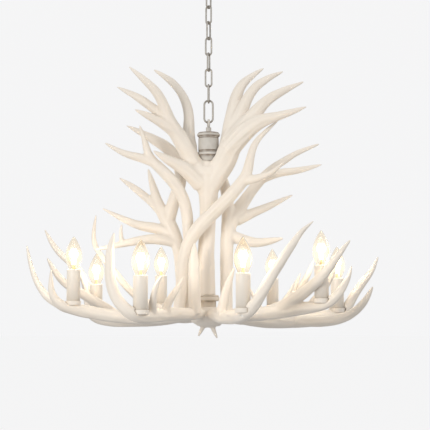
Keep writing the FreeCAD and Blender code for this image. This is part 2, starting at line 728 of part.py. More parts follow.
def right_rear():
    """The right rear upright: a pillar behind the trunk and a beam with tines to the right."""
    pillar = [
        (44, 9, -42, 13), (43, 10, -7, 14.7), (44, 12, 83, 14.7), (45, 20, 150, 16.2),
        (56, 30, 188, 18.8), (78, 42, 216, 16.1), (98, 54, 249, 13.2), (121, 64, 277, 12),
        (144, 70, 305, 11.3), (172, 74, 327, 9.5), (200, 78, 345, 8), (228, 82, 362, 6.5),
        (276, 88, 381, 2.8)]
    inner = [(45, 20, 157, 14.8), (49, 24, 207, 14.3), (47, 28, 244, 13.8), (38, 32, 277, 12.6),
             (26, 34, 307, 10.4)]
    middle_tine = [(134, 66, 291, 10.8), (171, 60, 306, 10), (203, 52, 307, 9),
                   (239, 44, 313, 7.2), (279, 36, 323, 2.7)]
    low_tine = [(68, 34, 186, 15.3), (96, 52, 198, 12.4), (129, 70, 214, 10),
                (165, 86, 230, 7.6), (211, 102, 253, 2.8)]
    stub = [(50, 22, 148, 15), (85, 26, 133, 13.3), (117, 26, 127, 11.8), (149, 24, 132, 8.9),
            (178, 20, 138, 4.7)]
    return antler(pillar, inner, middle_tine, low_tine, stub)


# ---------------------------------------------------------------- lights


def light_space():
    """The space that a light's pan, sleeve and stud take up in the antler under it."""
    gap = size("running_gap")
    tall = size("pan_height")
    spread = (size("pan_rim_radius") - size("pan_foot_radius")) / tall
    pan = Part.makeCone(size("pan_foot_radius") + gap, size("pan_rim_radius") + gap + spread,
                        tall + 1.0)
    sleeve = Part.makeCylinder(size("sleeve_radius") + gap, size("sleeve_height"),
                               Vector(0, 0, size("pan_wall")))
    stud = Part.makeCylinder(size("stud_radius") + size("thread_gap"),
                             size("stud_depth") + 1.0, Vector(0, 0, -size("stud_depth")))
    return pan.multiFuse([sleeve, stud])


def make_pan():
    """The small cup under a candle sleeve."""
    outer = cone("pan_outer", "Sizes.pan_foot_radius", "Sizes.pan_rim_radius",
                 "Sizes.pan_height")
    inner = cone("pan_inner", "Sizes.pan_foot_radius", "Sizes.pan_rim_radius",
                 "Sizes.pan_height", "Sizes.pan_wall")
    hole = cylinder("pan_hole", "Sizes.stud_radius + Sizes.thread_gap", "Sizes.pan_height",
                    "-Sizes.pan_height / 2")
    shell = cut("pan_shell", outer, inner)
    return cut("pan", shell, hole)


def make_sleeve():
    """The candle sleeve with its rounded shoulder."""
    body = cylinder("sleeve_body", "Sizes.sleeve_radius", "Sizes.sleeve_height",
                    "Sizes.pan_wall")
    rounded = doc.addObject("Part::Fillet", "sleeve_rounded")
    rounded.Base = body
    doc.recompute()
    edges = body.Shape.Edges
    top_edge = max(range(len(edges)), key=lambda index: edges[index].BoundBox.ZMin)
    rounded.Edges = [(top_edge + 1, size("sleeve_shoulder"), size("sleeve_shoulder"))]
    inner = cylinder("sleeve_inner", "Sizes.sleeve_radius - Sizes.sleeve_wall",
                     "Sizes.sleeve_height", "Sizes.pan_wall - Sizes.sleeve_shoulder")
    mouth = cylinder("sleeve_mouth", "Sizes.glass_foot_radius + Sizes.mouth_gap",
                     "2 * Sizes.sleeve_height", "Sizes.pan_wall")
    return cut("sleeve", rounded, fuse("sleeve_hollow", inner, mouth))


def make_holder():
    """The lampholder, with the stud that screws it through the pan into the antler."""
    body = cylinder("holder_body", "Sizes.holder_radius", "Sizes.holder_height",
                    "Sizes.pan_wall")
    stud = cylinder("holder_stud", "Sizes.stud_radius", "Sizes.stud_depth + Sizes.pan_wall",
                    "-Sizes.stud_depth")
    bore = cylinder("holder_bore", "Sizes.cap_radius + Sizes.thread_gap",
                    "2 * Sizes.holder_bore_depth",
                    "Sizes.pan_wall + Sizes.holder_height - Sizes.holder_bore_depth")
    return cut("holder", fuse("holder_solid", body, stud), bore)


def glass_foot():
    """The height of a bulb's glass over its pan's foot: it stands on the lampholder."""
    return size("pan_wall") + size("holder_height")


def glass_shape():
    """The clear candle bulb: a thin turned wall, open at its foot."""
    foot, tall = size("glass_foot_radius"), size("glass_height")
    wide, wall = size("glass_radius"), size("glass_wall")
    side = [(foot, 0.0), (foot + 1.0, 0.07), (wide, 0.4), (wide * 0.78, 0.66),
            (wide * 0.36, 0.9), (1.2, 1.0)]
    outer, inner = Part.BSplineCurve(), Part.BSplineCurve()
    outer.interpolate([Vector(across, 0, up * tall) for across, up in side])
    inner.interpolate([Vector(across - wall, 0, up * tall) for across, up in side[:-1]])
    rings = int(size("glass_rings"))
    skin = [(point.x, point.z) for point in outer.discretize(Number=rings)]
    lining = [(point.x, point.z) for point in inner.discretize(Number=rings)]
    return turned(skin + [(0.0, tall), (0.0, tall - 3.0 * wall)] + lining[::-1])


def cap_shape():
    """The bulb's brass cap with its contact, and the stem and filament inside the glass."""
    radius, tall = size("cap_radius"), size("cap_height")
    inside = size("glass_foot_radius") - size("glass_wall") - size("running_gap")
    body = turned([
        (0.0, -tall), (radius * 0.4, -tall), (radius * 0.55, -tall + 2.5), (radius, -tall + 5.0),
        (radius, 0.0), (inside, 0.0), (inside * 0.6, 4.0), (1.4, 14.0), (1.4, 50.0), (0.0, 50.0),
    ])
    return body


def make_lights():
    """Eight lights: pans, sleeves and lampholders as groups, and each bulb by itself."""
    pan, sleeve, holder = make_pan(), make_sleeve(), make_holder()
    doc.recompute()
    seats = {number: light_seat(number) for number in LIGHTS}
    groups = {"candle_pans": pan, "candle_sleeves": sleeve, "lampholders": holder}
    for label, master in groups.items():
        copies = []
        for seat in seats.values():
            copy = master.Shape.copy()
            copy.translate(seat)
            copies.append(copy)
        feature(label, Part.makeCompound(copies), datum)
    lift = Vector(0, 0, glass_foot())
    for number, seat in seats.items():
        place = datum.multiply(Placement(seat + lift, Rotation()))
        feature(f"bulb_glass_{number}", glass_shape(), place)
        feature(f"bulb_cap_{number}", cap_shape(), place)


# ---------------------------------------------------------------- assembly


def light_spaces():
    """Every light's space, at its seat."""
    spaces = {}
    for number in LIGHTS:
        space = light_space()
        space.translate(light_seat(number))
        spaces[number] = space
    return spaces


def make_antlers():
    """The antlers, each carved where it seats on the finial, the plate, the hub or another."""
    finial, plate = make_finial(), make_plate()
    spaces = light_spaces()
    makers = [low_antler_1, low_antler_2, low_antler_3, low_antler_4, low_antler_5, low_antler_6,
              low_antler_7, low_antler_8]
    low = []
    for number, maker in enumerate(makers, start=1):
        beside = low[-1:] + (low[:1] if number == len(makers) else [])
        low.append(fitted(maker(), finial, plate, spaces[number], *beside))
    hub_space = turned([
        (0.0, size("trunk_height")), (size("hub_neck_radius") + 0.3, size("trunk_height")),
        (size("hub_cap_radius") + 0.6, size("trunk_height") + size("hub_neck_height")),
        (size("hub_cap_radius") + 0.6, size("trunk_height") + hub_height),
        (0.0, size("trunk_height") + hub_height)])
    rod_space = Part.makeCylinder(size("rod_radius") + size("running_gap"),
                                  size("trunk_height") + 60.0, Vector(0, 0, -20))
    crown = fitted(front_crown(), plate, finial, hub_space, rod_space)
    front = fitted(front_arch(), crown, finial, low[6], low[7])
    left = fitted(left_arch(), crown, front, finial, plate, low[6])
    rear_left = fitted(left_rear(), crown, left, finial, plate, low[5])
    rear_right = fitted(right_rear(), crown, front, finial, plate, low[2], hub_space, rod_space)
    feature("centre_plate", plate, datum)
    feature("finial", finial, datum)
    feature("front_crown_antler", crown, datum)
    feature("front_arch_antler", front, datum)
    feature("left_arch_antler", left, datum)
    feature("left_rear_antler", rear_left, datum)
    feature("right_rear_antler", rear_right, datum)
    for number, shape in enumerate(low, start=1):
        feature(f"low_antler_{number}", shape, datum)


make_canopy()
make_bracket()
make_ring_nut()
make_canopy_loop()
make_chain()
make_eye()
make_hub()
make_rod()
make_rod_nuts()
make_antlers()
make_lights()
doc.recompute()

# ---------------------------------------------------------------- check and export

for obj in doc.Objects:
    if "Invalid" in obj.State or "Error" in obj.State:
        raise SystemExit(f"{obj.Name} did not recompute: {obj.State}")
for obj in sub_parts:
    if obj.Shape.isNull() or not obj.Shape.isValid():
        raise SystemExit(f"{obj.Label} has no valid shape")

os.makedirs("parts", exist_ok=True)
for obj in sub_parts:
    obj.Shape.exportStep(os.path.join("parts", f"{obj.Label}.step"))
print(f"{len(sub_parts)} sub-parts")
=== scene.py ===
"""Looks for the antler chandelier: cast resin antlers, a painted hub and chain, eight lit candles.

Every piece is in metres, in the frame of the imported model. Antlers, chain and other cast pieces
are smoothed copies of their nodes, and turned pieces are spun again with fine profiles.
"""
import json
import logging
import math
from abc import ABC, abstractmethod
from collections.abc import Callable
from dataclasses import dataclass
from enum import Enum
from functools import cache

import bmesh
import bpy
import numpy as np
from bpy.types import ID, Material, Mesh, Node, NodeSocket, NodeTree, Object
from mathutils import Matrix, Vector

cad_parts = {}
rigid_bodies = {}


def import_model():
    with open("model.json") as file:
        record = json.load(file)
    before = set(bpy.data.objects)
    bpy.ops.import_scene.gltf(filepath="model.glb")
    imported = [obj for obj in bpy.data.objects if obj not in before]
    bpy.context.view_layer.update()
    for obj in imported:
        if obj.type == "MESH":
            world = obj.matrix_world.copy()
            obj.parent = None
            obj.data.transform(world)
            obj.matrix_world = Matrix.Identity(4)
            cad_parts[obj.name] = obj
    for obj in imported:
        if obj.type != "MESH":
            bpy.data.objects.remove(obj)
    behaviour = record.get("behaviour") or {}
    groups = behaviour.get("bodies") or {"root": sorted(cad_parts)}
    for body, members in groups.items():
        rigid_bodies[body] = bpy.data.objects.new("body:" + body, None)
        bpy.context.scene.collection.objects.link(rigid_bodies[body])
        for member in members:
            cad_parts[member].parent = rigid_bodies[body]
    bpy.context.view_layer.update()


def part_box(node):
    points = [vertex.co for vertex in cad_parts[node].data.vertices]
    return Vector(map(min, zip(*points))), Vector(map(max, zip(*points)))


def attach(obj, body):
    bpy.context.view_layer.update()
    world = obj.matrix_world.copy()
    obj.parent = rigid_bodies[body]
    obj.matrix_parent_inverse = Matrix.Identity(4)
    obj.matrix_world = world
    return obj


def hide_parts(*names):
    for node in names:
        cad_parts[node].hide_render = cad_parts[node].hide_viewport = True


log = logging.getLogger("antler_chandelier")

Colour = tuple[float, float, float]
Profile = list[tuple[float, float]]
Array = np.ndarray
NodeValue = NodeSocket | float | tuple[float, ...]
NodeInputs = dict[str | int, NodeValue]

LIGHTS = range(1, 9)
LINKS = range(1, 9)
CEILING = "ceiling_mount"
CHANDELIER = "chandelier"
# Mesh attribute for dark marks: stains and wear, and painted shade in the creases of cast copies.
STAIN_AND_SHADE = "stain_and_shade"
GRAIN = "grain"
GLOW = "glow"
LEAST_WEIGHT = 1e-9
LEAST_LENGTH = 1e-12
LONGEST_ROUNDING = 0.45
WIRE_RADIUS = 0.0005


# ---- shader nodes


def opaque(colour: Colour) -> tuple[float, float, float, float]:
    """The colour with full opacity."""
    return (*colour, 1.0)


def feed(tree: NodeTree, node: Node, inputs: NodeInputs) -> None:
    """Link a node's inputs to other sockets, or give them constants.

    Args:
        tree: The node tree.
        node: The node.
        inputs: Each input's name or number, with a socket or a constant.
    """
    for label, value in inputs.items():
        if isinstance(value, NodeSocket):
            tree.links.new(value, node.inputs[label])
        else:
            node.inputs[label].default_value = value


def add_node(tree: NodeTree, kind: str, inputs: NodeInputs, **settings: object) -> Node:
    """Add a node to a tree.

    Args:
        tree: The node tree.
        kind: The node's type.
        inputs: Its inputs, as feed takes them.
        settings: Its own settings, made before its inputs are fed.

    Returns:
        The node.
    """
    node = tree.nodes.new(kind)
    for label, value in settings.items():
        setattr(node, label, value)
    feed(tree, node, inputs)
    return node


def mark_on_mesh(tree: NodeTree, name: str) -> NodeSocket:
    """The number that the mesh stores under a name for each vertex."""
    return add_node(tree, "ShaderNodeAttribute", {}, attribute_name=name).outputs["Fac"]


def mix_colours(tree: NodeTree, share: NodeSocket, under: NodeValue, over: NodeValue) -> NodeSocket:
    """Lay one colour over another.

    Args:
        tree: The node tree.
        share: How much of the upper colour shows, from 0 to 1.
        under: The lower colour.
        over: The upper colour.

    Returns:
        The mixed colour.
    """
    mix = add_node(tree, "ShaderNodeMix", {"Factor": share, "A": under, "B": over},
                   data_type="RGBA")
    return mix.outputs["Result"]


class NodeGroups:
    """The shader effects that several materials share, each built once."""

    MIDDLE = 0.5
    PORE_DETAIL = 4.0
    PIT_REACH = 0.18

    @staticmethod
    def _start(name: str, inputs: dict[str, float], output: str) -> tuple[NodeTree, Node, Node]:
        """Start a shader node group with float sockets.

        Args:
            name: The group's name.
            inputs: Each input's name and default value.
            output: The output's name.

        Returns:
            The node tree, its input node and its output node.
        """
        tree = bpy.data.node_groups.new(name, "ShaderNodeTree")
        for label, value in inputs.items():
            socket = tree.interface.new_socket(label, in_out="INPUT", socket_type="NodeSocketFloat")
            socket.default_value = value
        tree.interface.new_socket(output, in_out="OUTPUT", socket_type="NodeSocketFloat")
        return tree, tree.nodes.new("NodeGroupInput"), tree.nodes.new("NodeGroupOutput")

    @classmethod
    @cache
    def mottle(cls) -> NodeTree:
        """Broad cloudy variation, as of brushed paint or hand-rubbed resin, from 0 to 1.

        Returns:
            The node group.
        """
        tree, source, sink = cls._start(
            "soft_mottle", {"Scale": 20.0, "Detail": 3.0, "Contrast": 1.0}, "Mask")
        place = tree.nodes.new("ShaderNodeTexCoord")
        noise = add_node(tree, "ShaderNodeTexNoise", {
            "Vector": place.outputs["Object"], "Scale": source.outputs["Scale"],
            "Detail": source.outputs["Detail"]})
        centred = add_node(tree, "ShaderNodeMath", {0: noise.outputs["Fac"], 1: cls.MIDDLE},
                           operation="SUBTRACT")
        spread = add_node(tree, "ShaderNodeMath", {
            0: centred.outputs[0], 1: source.outputs["Contrast"], 2: cls.MIDDLE},
            operation="MULTIPLY_ADD", use_clamp=True)
        feed(tree, sink, {"Mask": spread.outputs[0]})
        return tree

    @classmethod
    @cache
    def pores(cls) -> NodeTree:
        """Fine surface texture for a Bump node's height: small noise with sparse pits.

        Returns:
            The node group.
        """
        tree, source, sink = cls._start("fine_pores", {"Scale": 900.0, "Pits": 0.4}, "Height")
        place = tree.nodes.new("ShaderNodeTexCoord")
        fineness = {"Vector": place.outputs["Object"], "Scale": source.outputs["Scale"]}
        noise = add_node(tree, "ShaderNodeTexNoise", fineness | {"Detail": cls.PORE_DETAIL})
        cells = add_node(tree, "ShaderNodeTexVoronoi", fineness)
        pit = add_node(tree, "ShaderNodeMapRange", {
            "Value": cells.outputs["Distance"], "From Min": 0.0, "From Max": cls.PIT_REACH,
            "To Min": -1.0, "To Max": 0.0})
        depth = add_node(tree, "ShaderNodeMath", {
            0: pit.outputs["Result"], 1: source.outputs["Pits"], 2: noise.outputs["Fac"]},
            operation="MULTIPLY_ADD")
        feed(tree, sink, {"Height": depth.outputs[0]})
        return tree


# ---- finishes


class Slot(Enum):
    """The record's material slots."""

    RESIN = "antler_resin"
    PATINA = "patinated_paint"
    CHAIN = "chain_paint"
    CANOPY = "canopy_paint"
    ZINC = "zinc_steel"
    PAN = "pan_resin"
    SLEEVE = "candle_sleeve"
    HOLDER = "lampholder"
    GLASS = "bulb_glass"
    BRASS = "bulb_brass"


class Surface(ABC):
    """A finish for pieces of one slot, which makes its material once."""

    name: str
    slot: Slot

    @abstractmethod
    def fill(self, material: Material) -> None:
        """Set up the new material's nodes."""

    def material(self) -> Material:
        """Find the finish's material, or make it at the first call.

        Returns:
            The material.
        """
        if self.name not in bpy.data.materials:
            material = bpy.data.materials.new(self.name)
            material.use_nodes = True
            self.fill(material)
        return bpy.data.materials[self.name]


@dataclass(frozen=True)
class Finish(Surface):
    """A surface with soft mottling, fine pores and, where asked, marks from mesh attributes."""

    slot: Slot
    base: Colour
    shade: Colour
    roughness: float
    mottle_scale: float
    pore_scale: float
    pore_depth: float
    mottle_contrast: float = 1.6
    metallic: float = 0.0
    sheen: float = 0.0
    specular: float = 0.5
    pit_share: float = 0.3
    pore_strength: float = 0.5
    rough_spread: float = 0.06
    rough_fineness: float = 3.0
    rough_contrast: float = 1.2
    # Colour of the dark marks: stains and wear, and painted shade in the creases of cast copies.
    stain_and_shade: Colour | None = None
    grain_depth: float = 0.0
    grain_strength: float = 0.8
    label: str = ""

    @property
    def name(self) -> str:
        """The material's name, from the finish's own label or from its slot."""
        return f"{self.label or self.slot.value}_finish"

    def fill(self, material: Material) -> None:
        """Lead the mottling, the dark marks (stains, wear and painted crease shade), the pores and
        the grain to the shader.

        Args:
            material: The new material.
        """
        tree = material.node_tree
        shader = tree.nodes["Principled BSDF"]
        feed(tree, shader, {
            "Metallic": self.metallic, "Roughness": self.roughness, "Sheen Weight": self.sheen,
            "Specular IOR Level": self.specular})
        cloud = add_node(tree, "ShaderNodeGroup", {
            "Scale": self.mottle_scale, "Contrast": self.mottle_contrast},
            node_tree=NodeGroups.mottle())
        colour = mix_colours(tree, cloud.outputs["Mask"], opaque(self.base), opaque(self.shade))
        # Dark marks from the mesh: stains and wear, and painted crease shade on cast copies.
        if self.stain_and_shade is not None:
            colour = mix_colours(tree, mark_on_mesh(tree, STAIN_AND_SHADE), colour, opaque(self.stain_and_shade))
        feed(tree, shader, {
            "Base Color": colour, "Roughness": self._rough(tree), "Normal": self._bumps(tree)})

    def _rough(self, tree: NodeTree) -> NodeSocket:
        """The roughness, a little uneven.

        Args:
            tree: The material's nodes.

        Returns:
            The roughness.
        """
        cloud = add_node(tree, "ShaderNodeGroup", {
            "Scale": self.mottle_scale * self.rough_fineness, "Contrast": self.rough_contrast},
            node_tree=NodeGroups.mottle())
        span = add_node(tree, "ShaderNodeMapRange", {
            "Value": cloud.outputs["Mask"], "To Min": self.roughness - self.rough_spread,
            "To Max": self.roughness + self.rough_spread})
        return span.outputs["Result"]

    def _bumps(self, tree: NodeTree) -> NodeSocket:
        """Fine pores, over the lengthwise grain where the finish has one.

        Args:
            tree: The material's nodes.

        Returns:
            The normal.
        """
        pores = add_node(tree, "ShaderNodeGroup", {
            "Scale": self.pore_scale, "Pits": self.pit_share}, node_tree=NodeGroups.pores())
        fine = add_node(tree, "ShaderNodeBump", {
            "Distance": self.pore_depth, "Strength": self.pore_strength,
            "Height": pores.outputs["Height"]})
        if self.grain_depth:
            broad = add_node(tree, "ShaderNodeBump", {
                "Distance": self.grain_depth, "Strength": self.grain_strength,
                "Height": mark_on_mesh(tree, GRAIN)})
            feed(tree, fine, {"Normal": broad.outputs["Normal"]})
        return fine.outputs["Normal"]


@dataclass(frozen=True)
class GlassFinish(Surface):
    """Clear bulb glass with a warm glow, strongest where the mesh says."""

    tint: Colour = (0.965, 0.915, 0.83)
    glow: Colour = (1.0, 0.86, 0.62)
    unlit: Colour = (0.0, 0.0, 0.0)
    strength: float = 0.08
    roughness: float = 0.13
    refraction: float = 1.2
    name: str = "bulb_glass_finish"
    slot: Slot = Slot.GLASS

    def fill(self, material: Material) -> None:
        """Set the glass, and lead its glow to the shader.

        Args:
            material: The new material.
        """
        material.cycles.emission_sampling = "NONE"
        tree = material.node_tree
        glow = mix_colours(tree, mark_on_mesh(tree, GLOW), opaque(self.unlit), opaque(self.glow))
        feed(tree, tree.nodes["Principled BSDF"], {
            "Base Color": opaque(self.tint), "Transmission Weight": 1.0,
            "Roughness": self.roughness, "IOR": self.refraction, "Emission Color": glow,
            "Emission Strength": self.strength})


@dataclass(frozen=True)
class FilamentFinish(Surface):
    """The bright filament."""

    colour: Colour = (1.0, 0.82, 0.55)
    strength: float = 5.0
    name: str = "filament_glow"
    slot: Slot = Slot.GLASS

    def fill(self, material: Material) -> None:
        """Set the filament's colour and its light.

        Args:
            material: The new material.
        """
        material.cycles.emission_sampling = "NONE"
        tree = material.node_tree
        feed(tree, tree.nodes["Principled BSDF"], {
            "Base Color": opaque(self.colour), "Emission Color": opaque(self.colour),
            "Emission Strength": self.strength})


# RESIN's dark colour is painted shade in the creases and forks of the cast antlers and finial, with
# a little dust tint.
RESIN = Finish(Slot.RESIN, base=(0.89, 0.825, 0.74), shade=(0.86, 0.78, 0.68),
               roughness=0.55, mottle_scale=9.0, mottle_contrast=1.3, pore_scale=700.0,
               pore_depth=0.00006, pit_share=0.25, stain_and_shade=(0.60, 0.50, 0.40),
               grain_depth=0.0018, specular=0.35)
# PATINA's dark colour is patina in the turned grooves, and painted crease shade on the cast hub
# eye.
PATINA = Finish(Slot.PATINA, base=(0.63, 0.60, 0.555), shade=(0.53, 0.50, 0.455),
                roughness=0.52, mottle_scale=60.0, mottle_contrast=2.2, pore_scale=1500.0,
                pore_depth=0.00008, pit_share=0.5, stain_and_shade=(0.16, 0.11, 0.07))
PLATE = Finish(Slot.PATINA, base=(0.80, 0.72, 0.62), shade=(0.70, 0.62, 0.52),
               roughness=0.55, mottle_scale=40.0, mottle_contrast=1.8, pore_scale=1200.0,
               pore_depth=0.00005, stain_and_shade=(0.42, 0.33, 0.24), label="plate_paint")
CHAIN = Finish(Slot.CHAIN, base=(0.50, 0.475, 0.435), shade=(0.36, 0.335, 0.30),
               roughness=0.42, mottle_scale=120.0, mottle_contrast=2.0, pore_scale=2400.0,
               pore_depth=0.00004, stain_and_shade=(0.17, 0.13, 0.09))
# CANOPY's dark colour marks the coined edge of the ring nut, and is painted crease shade on the
# cast loop.
CANOPY = Finish(Slot.CANOPY, base=(0.74, 0.72, 0.68), shade=(0.66, 0.64, 0.60),
                roughness=0.40, mottle_scale=40.0, pore_scale=1600.0, pore_depth=0.00004,
                stain_and_shade=(0.30, 0.24, 0.18))
ZINC = Finish(Slot.ZINC, base=(0.60, 0.61, 0.62), shade=(0.47, 0.48, 0.50), roughness=0.35,
              metallic=1.0, mottle_scale=150.0, mottle_contrast=2.4, pore_scale=3000.0,
              pore_depth=0.00002)
PAN = Finish(Slot.PAN, base=(0.89, 0.825, 0.74), shade=(0.85, 0.775, 0.68), roughness=0.55,
             mottle_scale=30.0, pore_scale=1100.0, pore_depth=0.00005)
SLEEVE = Finish(Slot.SLEEVE, base=(0.88, 0.815, 0.725), shade=(0.86, 0.78, 0.675),
                roughness=0.45, mottle_scale=24.0, mottle_contrast=1.0, pore_scale=1400.0,
                pore_depth=0.00003, sheen=0.1)
HOLDER = Finish(Slot.HOLDER, base=(0.80, 0.78, 0.73), shade=(0.74, 0.71, 0.66),
                roughness=0.4, mottle_scale=60.0, pore_scale=1800.0, pore_depth=0.00003)
BRASS = Finish(Slot.BRASS, base=(0.78, 0.62, 0.38), shade=(0.68, 0.52, 0.30), roughness=0.34,
               metallic=1.0, mottle_scale=200.0, mottle_contrast=1.8, pore_scale=3000.0,
               pore_depth=0.00002)
GLASS = GlassFinish()
FILAMENT = FilamentFinish()


# ---- pieces and meshes


@dataclass(frozen=True)
class Extent:
    """The box that a node, or one solid of it, fills."""

    low: Vector
    high: Vector

    @classmethod
    def of(cls, node: str) -> "Extent":
        """The box of a node."""
        return cls(*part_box(node))

    @property
    def centre(self) -> Vector:
        """The middle of the box."""
        return (self.low + self.high) / 2

    @property
    def foot(self) -> Vector:
        """The middle of the box's lower face."""
        return Vector(((self.low.x + self.high.x) / 2, (self.low.y + self.high.y) / 2, self.low.z))

    @property
    def radius(self) -> float:
        """Half of the box's width."""
        return (self.high.x - self.low.x) / 2

    @property
    def height(self) -> float:
        """The box's height."""
        return self.high.z - self.low.z


def link_object(name: str, data: ID) -> Object:
    """Put a mesh, a lamp or a camera in the scene as a new object.

    Args:
        name: The object's name.
        data: Its mesh, lamp or camera.

    Returns:
        The object.
    """
    made = bpy.data.objects.new(name, data)
    bpy.context.scene.collection.objects.link(made)
    return made


def mesh_from(shape: bmesh.types.BMesh, name: str) -> Mesh:
    """Turn a finished bmesh into a mesh.

    Args:
        shape: The bmesh, which is freed.
        name: The mesh's name.

    Returns:
        The mesh.
    """
    mesh = bpy.data.meshes.new(name)
    shape.to_mesh(mesh)
    shape.free()
    return mesh


def paint(mesh: Mesh, finish: Surface) -> None:
    """Give a mesh one material in place of those it has."""
    mesh.materials.clear()
    mesh.materials.append(finish.material())


def add_piece(piece: Object, body: str, finish: Surface, *nodes: str) -> None:
    """Dress a piece, let it ride on a body and let it stand for nodes.

    Args:
        piece: The object.
        body: The body that it moves with.
        finish: Its finish, which has its slot.
        nodes: The nodes that it replaces, if any.
    """
    paint(piece.data, finish)
    piece.data.shade_smooth()
    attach(piece, body)
    if nodes:
        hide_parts(*nodes)
    log.info("%s on %s, %d faces", piece.name, body, len(piece.data.polygons))


def write_attribute(mesh: Mesh, name: str, values: Array) -> None:
    """Store one number from 0 to 1 for each vertex, in place of any stored before.

    Args:
        mesh: The mesh.
        name: The attribute's name.
        values: The numbers, which are held between 0 and 1.
    """
    store = mesh.attributes.get(name) or mesh.attributes.new(name, "FLOAT", "POINT")
    store.data.foreach_set("value", np.clip(values, 0.0, 1.0).astype(np.float32))


def read_rows(mesh: Mesh, label: str) -> Array:
    """Read a vector property of a mesh's vertices.

    Args:
        mesh: The mesh.
        label: The property, such as co or normal.

    Returns:
        One row of three numbers for each vertex.
    """
    flat = np.empty(len(mesh.vertices) * 3, np.float32)
    mesh.vertices.foreach_get(label, flat)
    return flat.reshape(-1, 3).astype(np.float64)


def points_of(mesh: Mesh) -> Array:
    """The places of a mesh's vertices."""
    return read_rows(mesh, "co")


def normals_of(mesh: Mesh) -> Array:
    """The normals of a mesh's vertices."""
    return read_rows(mesh, "normal")


def place_points(mesh: Mesh, points: Array) -> None:
    """Move a mesh's vertices to new places."""
    mesh.vertices.foreach_set("co", points.astype(np.float32).ravel())
    mesh.update()


@dataclass
class Neighbourhood:
    """Which vertices of a mesh are beside each other, for averages over its surface."""

    first: Array
    second: Array
    count: int

    @classmethod
    def of(cls, mesh: Mesh) -> "Neighbourhood":
        """The neighbourhood of a mesh, with the diagonals of its four-sided faces.

        Args:
            mesh: The mesh.

        Returns:
            Its pairs of neighbours, each both ways round.
        """
        edges = np.empty(len(mesh.edges) * 2, np.int32)
        mesh.edges.foreach_get("vertices", edges)
        pairs = [edges.reshape(-1, 2)]
        if len(mesh.loops) == 4 * len(mesh.polygons):
            around = np.empty(len(mesh.loops), np.int32)
            mesh.loops.foreach_get("vertex_index", around)
            around = around.reshape(-1, 4)
            pairs += [around[:, (0, 2)], around[:, (1, 3)]]
        joined = np.concatenate(pairs)
        return cls(np.concatenate([joined[:, 0], joined[:, 1]]),
                   np.concatenate([joined[:, 1], joined[:, 0]]), len(mesh.vertices))

    def average(self, values: Array, weights: Array | None = None) -> Array:
        """The mean of each vertex's neighbours.

        Args:
            values: One row or number for each vertex.
            weights: One weight for each pair of neighbours.

        Returns:
            The averages, in the shape of the values.
        """
        if weights is None:
            weights = np.ones(len(self.first))
        total = np.bincount(self.first, weights, self.count) + LEAST_WEIGHT
        rows = values.reshape(self.count, -1)
        sums = np.stack([
            np.bincount(self.first, weights * rows[self.second, column], self.count)
            for column in range(rows.shape[1])], axis=1)
        return (sums / total[:, None]).reshape(values.shape)

    def smooth(self, values: Array, rounds: int, share: float | Array,
               weights: Array | None = None) -> Array:
        """Move values towards their neighbours' mean, several times.

        Args:
            values: One row or number for each vertex.
            rounds: How many times.
            share: How much of the way each time, as one number or one for each vertex.
            weights: One weight for each pair of neighbours.

        Returns:
            The smoothed values.
        """
        for _ in range(rounds):
            values = values + share * (self.average(values, weights) - values)
        return values


